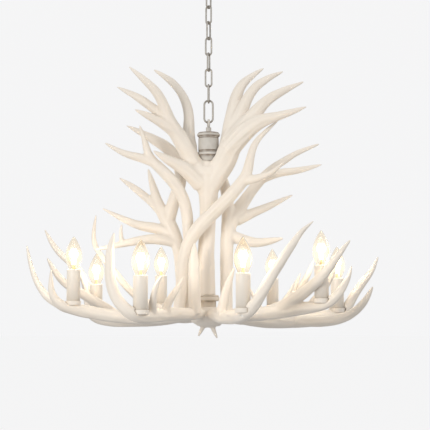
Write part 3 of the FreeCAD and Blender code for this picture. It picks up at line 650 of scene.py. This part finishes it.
@dataclass
class CastCopy:
    """A smoothed copy of a node: its forks flow together as in a casting, and its creases get
    painted shade.
    """

    node: str
    body: str
    finish: Finish
    voxel: float
    rounds: int
    grain_seed: int | None = None
    full_radius: float = 0.014
    relief: float = 0.0013
    weld: float = 0.00001
    # How deep a crease is for full painted shade, and how strong that painted shade is.
    crease_shade_reach: float = 0.0012
    stain_and_shade_strength: float = 0.5
    freedom: float = 0.5
    least_share: float = 0.2
    round_sag: float = 0.39
    least_sag: float = 1e-7
    even_rounds: int = 4
    sag_rounds: int = 8
    calm_share: float = 0.5
    axis_rounds: int = 14
    axis_share: float = 0.7
    streak_rounds: int = 70
    streak_share: float = 0.75
    streak_sharpness: int = 10
    streak_leak: float = 0.004
    streak_contrast: float = 0.2

    def build(self) -> Object:
        """Make the copy, dress it and let it stand for its node.

        Returns:
            The copy.
        """
        mesh = bpy.data.objects[self.node].data.copy()
        shape = bmesh.new()
        shape.from_mesh(mesh)
        bmesh.ops.remove_doubles(shape, verts=shape.verts, dist=self.weld)
        shape.to_mesh(mesh)
        shape.free()
        piece = link_object(f"{self.node}_cast", mesh)
        self._remesh(piece)
        self._flow(piece.data)
        add_piece(piece, self.body, self.finish, self.node)
        return piece

    def _remesh(self, piece: Object) -> None:
        """Cover the piece with even small faces, so that its parts are one skin.

        Args:
            piece: The copy.
        """
        skin = piece.modifiers.new("even_skin", "REMESH")
        skin.mode = "VOXEL"
        skin.voxel_size = self.voxel
        graph = bpy.context.evaluated_depsgraph_get()
        even = bpy.data.meshes.new_from_object(piece.evaluated_get(graph))
        piece.modifiers.clear()
        piece.data = even

    def _flow(self, mesh: Mesh) -> None:
        """Smooth the skin without thinning it, paint shade into its hollows and mark its grain.

        Args:
            mesh: The even skin.
        """
        beside = Neighbourhood.of(mesh)
        cast = points_of(mesh)
        freedom = self._freedom(mesh, beside)
        soft = beside.smooth(cast, self.rounds, freedom[:, None])
        place_points(mesh, soft)
        normals = normals_of(mesh)
        lost = ((cast - soft) * normals).sum(axis=1)
        kept = beside.smooth(lost, self.rounds, freedom)
        place_points(mesh, soft + normals * kept[:, None])
        # Painted shade: the concave creases and forks get a mark that darkens them towards the
        # finish's dark colour; on chain links it is written over with wear.
        hollow = np.clip(-(lost - kept) / self.crease_shade_reach, 0.0, 1.0)
        hollow = beside.average(beside.average(hollow))
        write_attribute(mesh, STAIN_AND_SHADE, hollow * self.stain_and_shade_strength)
        if self.grain_seed is not None:
            streaks = self._streaks(mesh, beside)
            write_attribute(mesh, GRAIN, streaks)
            raised = normals_of(mesh) * ((streaks - 0.5) * self.relief)[:, None]
            place_points(mesh, points_of(mesh) + raised)

    def _freedom(self, mesh: Mesh, beside: Neighbourhood) -> Array:
        """How far each vertex may move in a round: little on thin tines, most at the forks.

        A vertex stands above its neighbours' mean by the voxel's square over the limb's radius,
        times round_sag, which gives the radius there.

        Args:
            mesh: The even skin.
            beside: Its neighbourhood.

        Returns:
            One share for each vertex.
        """
        cast = points_of(mesh)
        even = beside.smooth(cast, self.even_rounds, self.calm_share)
        place_points(mesh, even)
        sag = ((even - beside.average(even)) * normals_of(mesh)).sum(axis=1)
        sag = beside.smooth(sag, self.sag_rounds, self.calm_share)
        place_points(mesh, cast)
        radius = self.round_sag * self.voxel ** 2 / np.maximum(sag, self.least_sag)
        return self.freedom * np.clip((radius / self.full_radius) ** 2, self.least_share, 1.0)

    def _streaks(self, mesh: Mesh, beside: Neighbourhood) -> Array:
        """Numbers that run in streaks along the limbs.

        A limb's axis is the direction that the normals round it have least of, and random
        numbers are averaged along it.

        Args:
            mesh: The smoothed mesh.
            beside: Its neighbourhood.

        Returns:
            One number for each vertex, around one half.
        """
        normals, points = normals_of(mesh), points_of(mesh)
        spread = (normals[:, :, None] * normals[:, None, :]).reshape(-1, 9)
        spread = beside.smooth(spread, self.axis_rounds, self.axis_share)
        axes = np.linalg.eigh(spread.reshape(-1, 3, 3))[1][:, :, 0]
        step = points[beside.second] - points[beside.first]
        step /= np.linalg.norm(step, axis=1)[:, None] + LEAST_LENGTH
        along = np.abs((step * axes[beside.first]).sum(axis=1)) ** self.streak_sharpness
        streak = np.random.default_rng(self.grain_seed).random(beside.count)
        streak = beside.smooth(streak, self.streak_rounds, self.streak_share,
                               along + self.streak_leak)
        level = (streak - streak.mean()) / (streak.std() + LEAST_WEIGHT)
        return 0.5 + level * self.streak_contrast


@dataclass
class Turned:
    """A piece spun about a vertical axis from a profile."""

    name: str
    profile: Profile
    centre: Vector
    closed: bool = True
    steps: int = 64
    weld: float = 0.000001

    def mesh(self) -> Mesh:
        """Spin the profile into a mesh.

        Returns:
            The mesh, in its place.
        """
        shape = bmesh.new()
        points = [shape.verts.new((radius, 0.0, height)) for radius, height in self.profile]
        for one, other in zip(points, points[1:]):
            shape.edges.new((one, other))
        if self.closed:
            shape.edges.new((points[-1], points[0]))
        bmesh.ops.spin(shape, geom=shape.verts[:] + shape.edges[:], cent=(0, 0, 0),
                       axis=(0, 0, 1), angle=math.tau, steps=self.steps, use_merge=True)
        bmesh.ops.remove_doubles(shape, verts=shape.verts, dist=self.weld)
        bmesh.ops.recalc_face_normals(shape, faces=shape.faces)
        bmesh.ops.translate(shape, verts=shape.verts, vec=self.centre)
        return mesh_from(shape, self.name)


def rounded(profile: Profile, radius: float, steps: int = 3,
            only: tuple[int, ...] | None = None) -> Profile:
    """A closed profile with its corners rounded off.

    Args:
        profile: The corners, as (radius, height).
        radius: The rounding's size, cut down at short sides.
        steps: How many parts each corner's curve has.
        only: The numbers of the corners to round, where the others stay sharp.

    Returns:
        The rounded profile.
    """
    result = []
    for index, sharp in enumerate(profile):
        if only is not None and index not in only:
            result.append(sharp)
            continue
        corner = Vector(sharp)
        back = Vector(profile[index - 1]) - corner
        ahead = Vector(profile[(index + 1) % len(profile)]) - corner
        reach = min(radius, min(back.length, ahead.length) * LONGEST_ROUNDING)
        start, end = corner + back.normalized() * reach, corner + ahead.normalized() * reach
        for step in range(steps + 1):
            share = step / steps
            point = start * (1 - share) ** 2 + corner * 2 * share * (1 - share) + end * share ** 2
            result.append((point.x, point.y))
    return result


# ---- sub-assemblies


@dataclass
class Antlers:
    """The cast antlers and the finial that they meet."""

    voxel: float = 0.0017
    rounds: int = 24
    finial_voxel: float = 0.0012
    finial_rounds: int = 30
    finial_radius: float = 0.008
    low_seed: int = 20
    finial_seed: int = 40
    uprights: tuple[str, ...] = ("front_crown_antler", "front_arch_antler", "left_arch_antler",
                                 "left_rear_antler", "right_rear_antler")

    def build(self) -> None:
        """Make every antler and the finial, each with a grain of its own."""
        seeds = {node: number + 1 for number, node in enumerate(self.uprights)}
        seeds |= {f"low_antler_{number}": number + self.low_seed for number in LIGHTS}
        for node, seed in seeds.items():
            CastCopy(node, CHANDELIER, RESIN, self.voxel, self.rounds, seed).build()
        CastCopy("finial", CHANDELIER, RESIN, self.finial_voxel, self.finial_rounds,
                 self.finial_seed, full_radius=self.finial_radius).build()


@dataclass
class Hub:
    """The turned hub under the chain, its eye, and the centre plate."""

    edge: float = 0.0011
    bore: float = 0.0054
    cap_lip: float = 0.0026
    ring_lip: float = 0.0022
    groove_share: float = 0.16
    rim_share: float = 0.3
    drum_wall: float = 0.002
    drum_edge: float = 0.0006
    bead_depth: float = 0.0008
    bead_slope: float = 0.0015
    foot_bead: float = 0.0015
    cap_bead: float = 0.0025
    bead_stain: float = 0.8
    neck_foot: float = 0.75
    neck_swell: float = 0.86
    neck_turn: float = 0.2
    neck_rim: float = 0.8
    plate_lip: float = 0.0018
    plate_waist: float = 0.0185
    plate_share: float = 0.49
    plate_slope: float = 0.003
    plate_groove: float = 0.003
    plate_shoulder: float = 0.002
    eye_voxel: float = 0.0007
    eye_rounds: int = 3
    stain_width: float = 0.0013
    stain_and_shade_strength: float = 1.25
    uneven: float = 0.25
    uneven_waves: tuple[int, int] = (3, 7)
    uneven_turn: float = 0.8

    def build(self) -> None:
        """Make the hub's turned pieces, the plate and the eye."""
        self._band("hub_cap", "hub_cap_rim", self.cap_lip)
        self._band("hub_ring", "hub_lower_ring", self.ring_lip)
        self._drum()
        self._neck()
        self._plate()
        CastCopy("hub_eye", CHANDELIER, PATINA, self.eye_voxel, self.eye_rounds,
                 full_radius=WIRE_RADIUS).build()

    def _add(self, name: str, node: str, profile: Profile, dark: tuple[float, ...],
             finish: Finish = PATINA) -> None:
        """Spin a profile, stain it and let it stand for its node.

        Args:
            name: The piece's name.
            node: The node that it replaces.
            profile: Its profile, with heights from the node's middle.
            dark: The heights that the dark patina gathers at, more on some sides than on others.
            finish: Its finish.
        """
        centre = Extent.of(node).centre
        piece = link_object(name, Turned(name, profile, centre).mesh())
        points = points_of(piece.data)
        angle = np.arctan2(points[:, 1], points[:, 0])
        broad, fine = self.uneven_waves
        wave = np.sin(broad * angle + self.uneven_turn) * np.sin(fine * angle)
        share = 1.0 - self.uneven + self.uneven * wave
        mark = np.zeros(len(points))
        for level in dark:
            away = (points[:, 2] - centre.z - level) / self.stain_width
            mark = np.maximum(mark, np.exp(-away ** 2) * share)
        write_attribute(piece.data, STAIN_AND_SHADE, mark * self.stain_and_shade_strength)
        add_piece(piece, CHANDELIER, finish, node)

    def _band(self, node: str, name: str, lip: float) -> None:
        """A turned band with a full rim between two grooves, alike above and below.

        Args:
            node: The node.
            name: The piece's name.
            lip: How far the rim stands out.
        """
        box = Extent.of(node)
        top = box.height / 2
        groove, rim = top - box.height * self.groove_share, top - box.height * self.rim_share
        upper = [(box.radius, rim), (box.radius - lip, groove), (box.radius - lip, top),
                 (self.bore, top)]
        lower = [(radius, -height) for radius, height in reversed(upper)]
        self._add(name, node, rounded(lower + upper, self.edge), (-groove, groove))

    def _plate(self) -> None:
        """The round plate that the low antlers meet under, on its slimmer waist."""
        box = Extent.of("centre_plate")
        top, outer = box.height / 2, box.radius
        turn = top - box.height * self.plate_share
        inner, groove = outer - self.plate_lip, top - self.plate_groove
        profile = [(self.bore, -top), (self.plate_waist, -top), (self.plate_waist, turn),
                   (inner, turn), (outer, turn + self.plate_slope),
                   (outer, groove - self.plate_shoulder), (inner, groove), (inner, top),
                   (self.bore, top)]
        self._add("centre_plate_turned", "centre_plate", rounded(profile, self.edge),
                  (turn, groove), PLATE)

    def _drum(self) -> None:
        """The hub's plain hollow drum, with a fine bead near its foot and under the cap."""
        box = Extent.of("hub_body")
        top, outer = box.height / 2, box.radius
        inner, waist = outer - self.drum_wall, outer - self.bead_depth
        low, high = self.foot_bead - top, top - self.cap_bead
        profile = [(inner, -top), (waist, -top), (waist, low), (outer, low + self.bead_slope),
                   (outer, high - self.bead_slope), (waist, high), (waist, top), (inner, top)]
        self._add("hub_drum", "hub_body", rounded(profile, self.drum_edge),
                  (self.foot_bead * self.bead_stain - top, top - self.cap_bead * self.bead_stain))

    def _neck(self) -> None:
        """The tapered neck that stands on the trunk."""
        box = Extent.of("hub_neck")
        top, outer = box.height / 2, box.radius
        profile = [(self.bore, -top), (outer * self.neck_foot, -top),
                   (outer * self.neck_swell, -top * self.neck_turn),
                   (outer, top * self.neck_rim), (outer, top), (self.bore, top)]
        self._add("hub_taper", "hub_neck", rounded(profile, self.edge), (top,))


@dataclass
class Chain:
    """The painted steel links."""

    voxel: float = 0.00062
    rounds: int = 4
    worn_length: float = 0.0085
    worn_strength: float = 0.85

    def build(self) -> None:
        """Make every link with round wire, and darken its ends with wear, where links rub."""
        for number in LINKS:
            node = f"chain_link_{number}"
            piece = CastCopy(node, node, CHAIN, self.voxel, self.rounds,
                             full_radius=WIRE_RADIUS).build()
            box = Extent.of(node)
            height = points_of(piece.data)[:, 2]
            inwards = np.minimum(height - box.low.z, box.high.z - height)
            worn = np.clip(1.0 - inwards / self.worn_length, 0.0, 1.0)
            write_attribute(piece.data, STAIN_AND_SHADE, worn * self.worn_strength)


@dataclass
class Canopy:
    """The ceiling canopy with its ring nut and loop."""

    wall: float = 0.0015
    edge: float = 0.003
    edge_steps: int = 4
    face: float = 0.050
    hole: float = 0.0051
    nut_bore: float = 0.00488
    nut_edge: float = 0.0009
    nut_steps: int = 72
    coin_depth: float = 0.0005
    coin_reach: float = 0.0012
    coin_count: int = 36
    coin_stain: float = 0.5
    loop_voxel: float = 0.0007
    loop_rounds: int = 3

    def build(self) -> None:
        """Make the canopy, the ring nut and the loop."""
        self._canopy()
        self._ring_nut()
        CastCopy("canopy_loop", CEILING, CANOPY, self.loop_voxel, self.loop_rounds,
                 full_radius=WIRE_RADIUS).build()

    def _canopy(self) -> None:
        """The thin dish, with a rounded edge between its face and its side."""
        box = Extent.of("canopy")
        profile = [(self.hole, 0.0), (self.face, 0.0), (box.radius, box.height),
                   (box.radius - self.wall, box.height), (self.face - self.wall, self.wall),
                   (self.hole, self.wall)]
        profile = rounded(profile, self.edge, self.edge_steps, only=(1,))
        centre = Vector((0.0, 0.0, box.low.z))
        piece = link_object("canopy_spun", Turned("canopy_spun", profile, centre).mesh())
        add_piece(piece, CEILING, CANOPY, "canopy")

    def _ring_nut(self) -> None:
        """The ring nut, with a coined edge that the dark marks gather in."""
        name = "canopy_ring_nut_turned"
        box = Extent.of("canopy_ring_nut")
        top, outer = box.height / 2, box.radius
        profile = rounded([(self.nut_bore, -top), (outer, -top), (outer, top),
                           (self.nut_bore, top)], self.nut_edge)
        piece = link_object(name, Turned(name, profile, box.centre, steps=self.nut_steps).mesh())
        points = points_of(piece.data)
        angle = np.arctan2(points[:, 1], points[:, 0])
        on_edge = np.hypot(points[:, 0], points[:, 1]) > outer - self.coin_reach
        notch = np.where(on_edge, 0.5 + 0.5 * np.sin(angle * self.coin_count), 0.0)
        outwards = np.stack([np.cos(angle), np.sin(angle), np.zeros(len(angle))], axis=1)
        place_points(piece.data, points - outwards * (notch * self.coin_depth)[:, None])
        write_attribute(piece.data, STAIN_AND_SHADE, notch * self.coin_stain)
        add_piece(piece, CEILING, CANOPY, "canopy_ring_nut")


@dataclass
class Candles:
    """The pans and sleeves of the eight lights."""

    light_reach: float = 0.04
    pan_hole: float = 0.0049
    pan_foot_inset: float = 0.0044
    pan_rim_inset: float = 0.0026
    pan_wall: float = 0.0018
    pan_floor: float = 0.0020
    pan_edge: float = 0.0008
    sleeve_wall: float = 0.0014
    sleeve_mouth: float = 0.011
    sleeve_roof: float = 0.003
    shoulder: float = 0.003
    shoulder_steps: int = 5
    steps: int = 48

    def build(self) -> None:
        """Make the pans and the sleeves."""
        self._several("candle_pans", PAN, self._pan)
        self._several("candle_sleeves", SLEEVE, self._sleeve)

    def _several(self, node: str, finish: Finish, profile: Callable[[Extent], Profile]) -> None:
        """Spin one copy for each light, joined in one piece, where the node's solids are.

        Args:
            node: The node, a group of eight like solids.
            finish: Its finish.
            profile: The method that gives a copy's profile from its solid's box.
        """
        joined = bmesh.new()
        for box in self._islands(node):
            mesh = Turned(node, profile(box), box.foot, steps=self.steps).mesh()
            joined.from_mesh(mesh)
            bpy.data.meshes.remove(mesh)
        name = f"{node}_turned"
        piece = link_object(name, mesh_from(joined, name))
        add_piece(piece, CHANDELIER, finish, node)

    def _islands(self, node: str) -> list[Extent]:
        """The box of each solid of a node, found from the bulbs that stand over them.

        Args:
            node: The node.

        Returns:
            The boxes, in the order of the lights.
        """
        points = points_of(bpy.data.objects[node].data)
        boxes = []
        for number in LIGHTS:
            centre = Extent.of(f"bulb_cap_{number}").centre
            away = np.hypot(points[:, 0] - centre.x, points[:, 1] - centre.y)
            mine = points[away < self.light_reach]
            boxes.append(Extent(Vector(mine.min(0)), Vector(mine.max(0))))
        return boxes

    def _pan(self, box: Extent) -> Profile:
        """The profile of the small cup that a sleeve stands in.

        Args:
            box: The pan's box.

        Returns:
            The profile.
        """
        foot, rim = box.radius - self.pan_foot_inset, box.radius - self.pan_rim_inset
        profile = [(self.pan_hole, 0.0), (foot, 0.0), (rim, box.height),
                   (rim - self.pan_wall, box.height), (foot - self.pan_wall, self.pan_floor),
                   (self.pan_hole, self.pan_floor)]
        return rounded(profile, self.pan_edge)

    def _sleeve(self, box: Extent) -> Profile:
        """The profile of a candle sleeve with its soft shoulder.

        Args:
            box: The sleeve's box.

        Returns:
            The profile.
        """
        outer, top = box.radius, box.height
        inner, roof = outer - self.sleeve_wall, top - self.sleeve_roof
        turns = [math.pi / 2 * step / self.shoulder_steps
                 for step in range(self.shoulder_steps + 1)]
        bend = [(outer - self.shoulder * (1 - math.cos(turn)),
                 top - self.shoulder * (1 - math.sin(turn))) for turn in turns]
        return [(inner, 0.0), (outer, 0.0), *bend, (self.sleeve_mouth, top),
                (self.sleeve_mouth, roof), (inner, roof)]


@dataclass
class Bulbs:
    """The lit bulbs: clear glass, filaments, and the light that they throw.

    The profile of the glass is in shares of its radius and of its height.
    """

    wall: float = 0.0009
    fullness: float = 1.09
    steps: int = 36
    brightest: float = 0.40
    glow_spread: float = 0.27
    sticks: int = 4
    stick_radius: float = 0.0017
    stick_ring: float = 0.0046
    stick_foot: float = 0.016
    stick_height: float = 0.036
    stick_sides: int = 10
    stick_lean: float = 0.06
    stick_turn: float = 0.35
    light_power: float = 0.2
    light_radius: float = 0.012
    light_colour: Colour = (1.0, 0.87, 0.70)
    profile: tuple[tuple[float, float], ...] = (
        (0.50, 0.0), (0.53, 0.04), (0.66, 0.13), (0.88, 0.24), (1.0, 0.38), (0.96, 0.52),
        (0.80, 0.66), (0.57, 0.79), (0.34, 0.90), (0.15, 0.965), (0.03, 0.995))

    def build(self) -> None:
        """Make every bulb on its own body."""
        for number in LIGHTS:
            self._glass(number)
            self._filaments(number)
            self._light(number)

    def _light(self, number: int) -> None:
        """The warm light that the bulb throws on what is round it.

        Args:
            number: The bulb's number.
        """
        name = f"bulb_light_{number}"
        data = bpy.data.lights.new(name, "POINT")
        data.energy = self.light_power
        data.color = self.light_colour
        data.shadow_soft_size = self.light_radius
        link_object(name, data).location = Extent.of(f"bulb_glass_{number}").centre

    def _glass(self, number: int) -> None:
        """The glass, brightest near its widest part.

        Args:
            number: The bulb's number.
        """
        node = f"bulb_glass_{number}"
        box = Extent.of(node)
        wide = box.radius * self.fullness
        outer = [(across * wide, up * box.height) for across, up in self.profile]
        mesh = Turned(node, outer + [(0.0, box.height)], box.foot, closed=False,
                      steps=self.steps).mesh()
        piece = link_object(f"{node}_blown", mesh)
        share = (points_of(mesh)[:, 2] - box.low.z) / box.height
        write_attribute(mesh, GLOW, np.exp(-((share - self.brightest) / self.glow_spread) ** 2))
        shell = piece.modifiers.new("glass_wall", "SOLIDIFY")
        shell.thickness, shell.offset = self.wall, -1.0
        soft = piece.modifiers.new("blown", "SUBSURF")
        soft.levels = soft.render_levels = 1
        piece.visible_shadow = False
        add_piece(piece, f"bulb_{number}", GLASS, node)

    def _filaments(self, number: int) -> None:
        """The bright filament sticks, in a ring round the bulb's axis.

        Args:
            number: The bulb's number.
        """
        name = f"bulb_filament_{number}"
        foot = Extent.of(f"bulb_glass_{number}").foot
        middle = self.stick_foot + self.stick_height / 2
        shape = bmesh.new()
        for stick in range(self.sticks):
            angle = math.tau * (stick + self.stick_turn) / self.sticks
            outwards = Vector((math.cos(angle), math.sin(angle), 0.0))
            sideways = Vector((-math.sin(angle), math.cos(angle), 0.0))
            made = bmesh.ops.create_cone(shape, cap_ends=True, segments=self.stick_sides,
                                         radius1=self.stick_radius, radius2=self.stick_radius,
                                         depth=self.stick_height)
            place = foot + outwards * self.stick_ring + Vector((0.0, 0.0, middle))
            lean = Matrix.Rotation(self.stick_lean, 4, sideways)
            bmesh.ops.transform(shape, matrix=Matrix.Translation(place) @ lean,
                                verts=made["verts"])
        piece = link_object(name, mesh_from(shape, name))
        piece.visible_shadow = False
        add_piece(piece, f"bulb_{number}", FILAMENT)


class KeptNodes:
    """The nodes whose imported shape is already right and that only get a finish."""

    FINISHES = {"mounting_bracket": ZINC, "threaded_rod": ZINC, "rod_nuts": ZINC,
                "lampholders": HOLDER}

    def dress(self) -> None:
        """Give each kept node its material."""
        caps = {f"bulb_cap_{number}": BRASS for number in LIGHTS}
        for node, finish in (self.FINISHES | caps).items():
            paint(bpy.data.objects[node].data, finish)
            log.info("%s dressed", node)


# ---- studio


@dataclass(frozen=True)
class Lamp:
    """A soft area lamp that looks at the chandelier."""

    name: str
    place: tuple[float, float, float]
    size: float
    power: float
    colour: Colour = (1.0, 1.0, 1.0)

    def build(self, target: Vector) -> None:
        """Hang the lamp and turn it to a point.

        Args:
            target: The point.
        """
        data = bpy.data.lights.new(self.name, "AREA")
        data.shape, data.size = "DISK", self.size
        data.energy, data.color = self.power, self.colour
        lamp = link_object(self.name, data)
        lamp.location = self.place
        lamp.rotation_euler = (target - lamp.location).to_track_quat("-Z", "Y").to_euler()


@dataclass
class Studio:
    """The pale room, its lamps and the camera at the photograph's angle."""

    floor_height: float = -2.6
    floor_reach: float = 60.0
    floor_sides: int = 64
    floor_grey: Colour = (0.55, 0.55, 0.56)
    floor_paper: Colour = (0.997, 0.997, 1.0)
    paper_share: float = 0.88
    paper: Colour = (0.915, 0.915, 0.92)
    daylight: Colour = (1.0, 1.0, 1.0)
    ambient: float = 0.49
    camera_distance: float = 2.65
    camera_height: float = -0.844
    camera_side: float = 0.0158
    camera_tilt: float = 4.69
    sensor_width: float = 36.0
    frame_pixels: float = 430.0
    focal_pixels: float = 1091.0
    middle: tuple[float, float, float] = (0.0, 0.0, -0.70)
    lamps: tuple[Lamp, ...] = (
        Lamp("key", (-1.7, -2.8, -0.5), 1.2, 50.0, (1.0, 0.99, 0.97)),
        Lamp("fill", (2.4, -2.3, 0.5), 2.0, 16.0),
        Lamp("right", (2.7, 0.5, 0.5), 1.6, 16.0),
        Lamp("top", (0.3, -0.2, 2.6), 1.6, 14.0),
    )

    def build(self) -> None:
        """Make the floor, the world, the lamps and the camera."""
        self._floor()
        self._world()
        for lamp in self.lamps:
            lamp.build(Vector(self.middle))
        self._camera()
        bpy.context.scene.view_settings.view_transform = "Standard"
        log.info("studio built")

    def _floor(self) -> None:
        """A wide pale floor that takes the soft shadow and melts into the paper."""
        shape = bmesh.new()
        bmesh.ops.create_circle(shape, cap_ends=True, segments=self.floor_sides,
                                radius=self.floor_reach)
        bmesh.ops.translate(shape, verts=shape.verts, vec=(0.0, 0.0, self.floor_height))
        floor = link_object("floor", mesh_from(shape, "floor"))
        material = bpy.data.materials.new("pale_floor")
        material.use_nodes = True
        material.cycles.emission_sampling = "NONE"
        tree = material.node_tree
        tree.nodes.clear()
        plain = add_node(tree, "ShaderNodeBsdfDiffuse", {"Color": opaque(self.floor_grey)})
        paper = add_node(tree, "ShaderNodeEmission", {"Color": opaque(self.floor_paper)})
        share = add_node(tree, "ShaderNodeMath", {0: self._seen(tree), 1: self.paper_share},
                         operation="MULTIPLY")
        blend = add_node(tree, "ShaderNodeMixShader", {
            "Fac": share.outputs[0], 1: plain.outputs[0], 2: paper.outputs[0]})
        add_node(tree, "ShaderNodeOutputMaterial", {"Surface": blend.outputs[0]})
        floor.data.materials.append(material)

    def _seen(self, tree: NodeTree) -> NodeSocket:
        """1 for rays from the camera or by way of metal or glass, and 0 for light.

        Args:
            tree: The nodes of the floor or of the world.

        Returns:
            The number.
        """
        rays = tree.nodes.new("ShaderNodeLightPath")
        seen = rays.outputs["Is Camera Ray"]
        for kind in ("Is Glossy Ray", "Is Transmission Ray"):
            either = add_node(tree, "ShaderNodeMath", {0: seen, 1: rays.outputs[kind]},
                              operation="MAXIMUM")
            seen = either.outputs[0]
        return seen

    def _world(self) -> None:
        """Even soft light, behind paper of the photograph's shade."""
        world = bpy.data.worlds.new("paper")
        world.use_nodes = True
        tree = world.node_tree
        tree.nodes.clear()
        light = add_node(tree, "ShaderNodeBackground", {
            "Color": opaque(self.daylight), "Strength": self.ambient})
        paper = add_node(tree, "ShaderNodeBackground", {"Color": opaque(self.paper)})
        blend = add_node(tree, "ShaderNodeMixShader", {
            "Fac": self._seen(tree), 1: light.outputs[0], 2: paper.outputs[0]})
        add_node(tree, "ShaderNodeOutputWorld", {"Surface": blend.outputs[0]})
        bpy.context.scene.world = world

    def _camera(self) -> None:
        """The camera, level with the low antlers and looking slightly up."""
        data = bpy.data.cameras.new("camera")
        data.sensor_width = self.sensor_width
        data.lens = self.sensor_width * self.focal_pixels / self.frame_pixels
        camera = link_object("camera", data)
        camera.location = (self.camera_side, -self.camera_distance, self.camera_height)
        camera.rotation_euler = (math.radians(90.0 + self.camera_tilt), 0.0, 0.0)
        bpy.context.scene.camera = camera


def main() -> None:
    """Build every sub-assembly on the frame."""
    logging.basicConfig(level=logging.INFO, format="%(name)s: %(message)s")
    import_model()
    KeptNodes().dress()
    Canopy().build()
    Chain().build()
    Hub().build()
    Antlers().build()
    Candles().build()
    Bulbs().build()
    Studio().build()


if __name__ == "__main__":
    main()
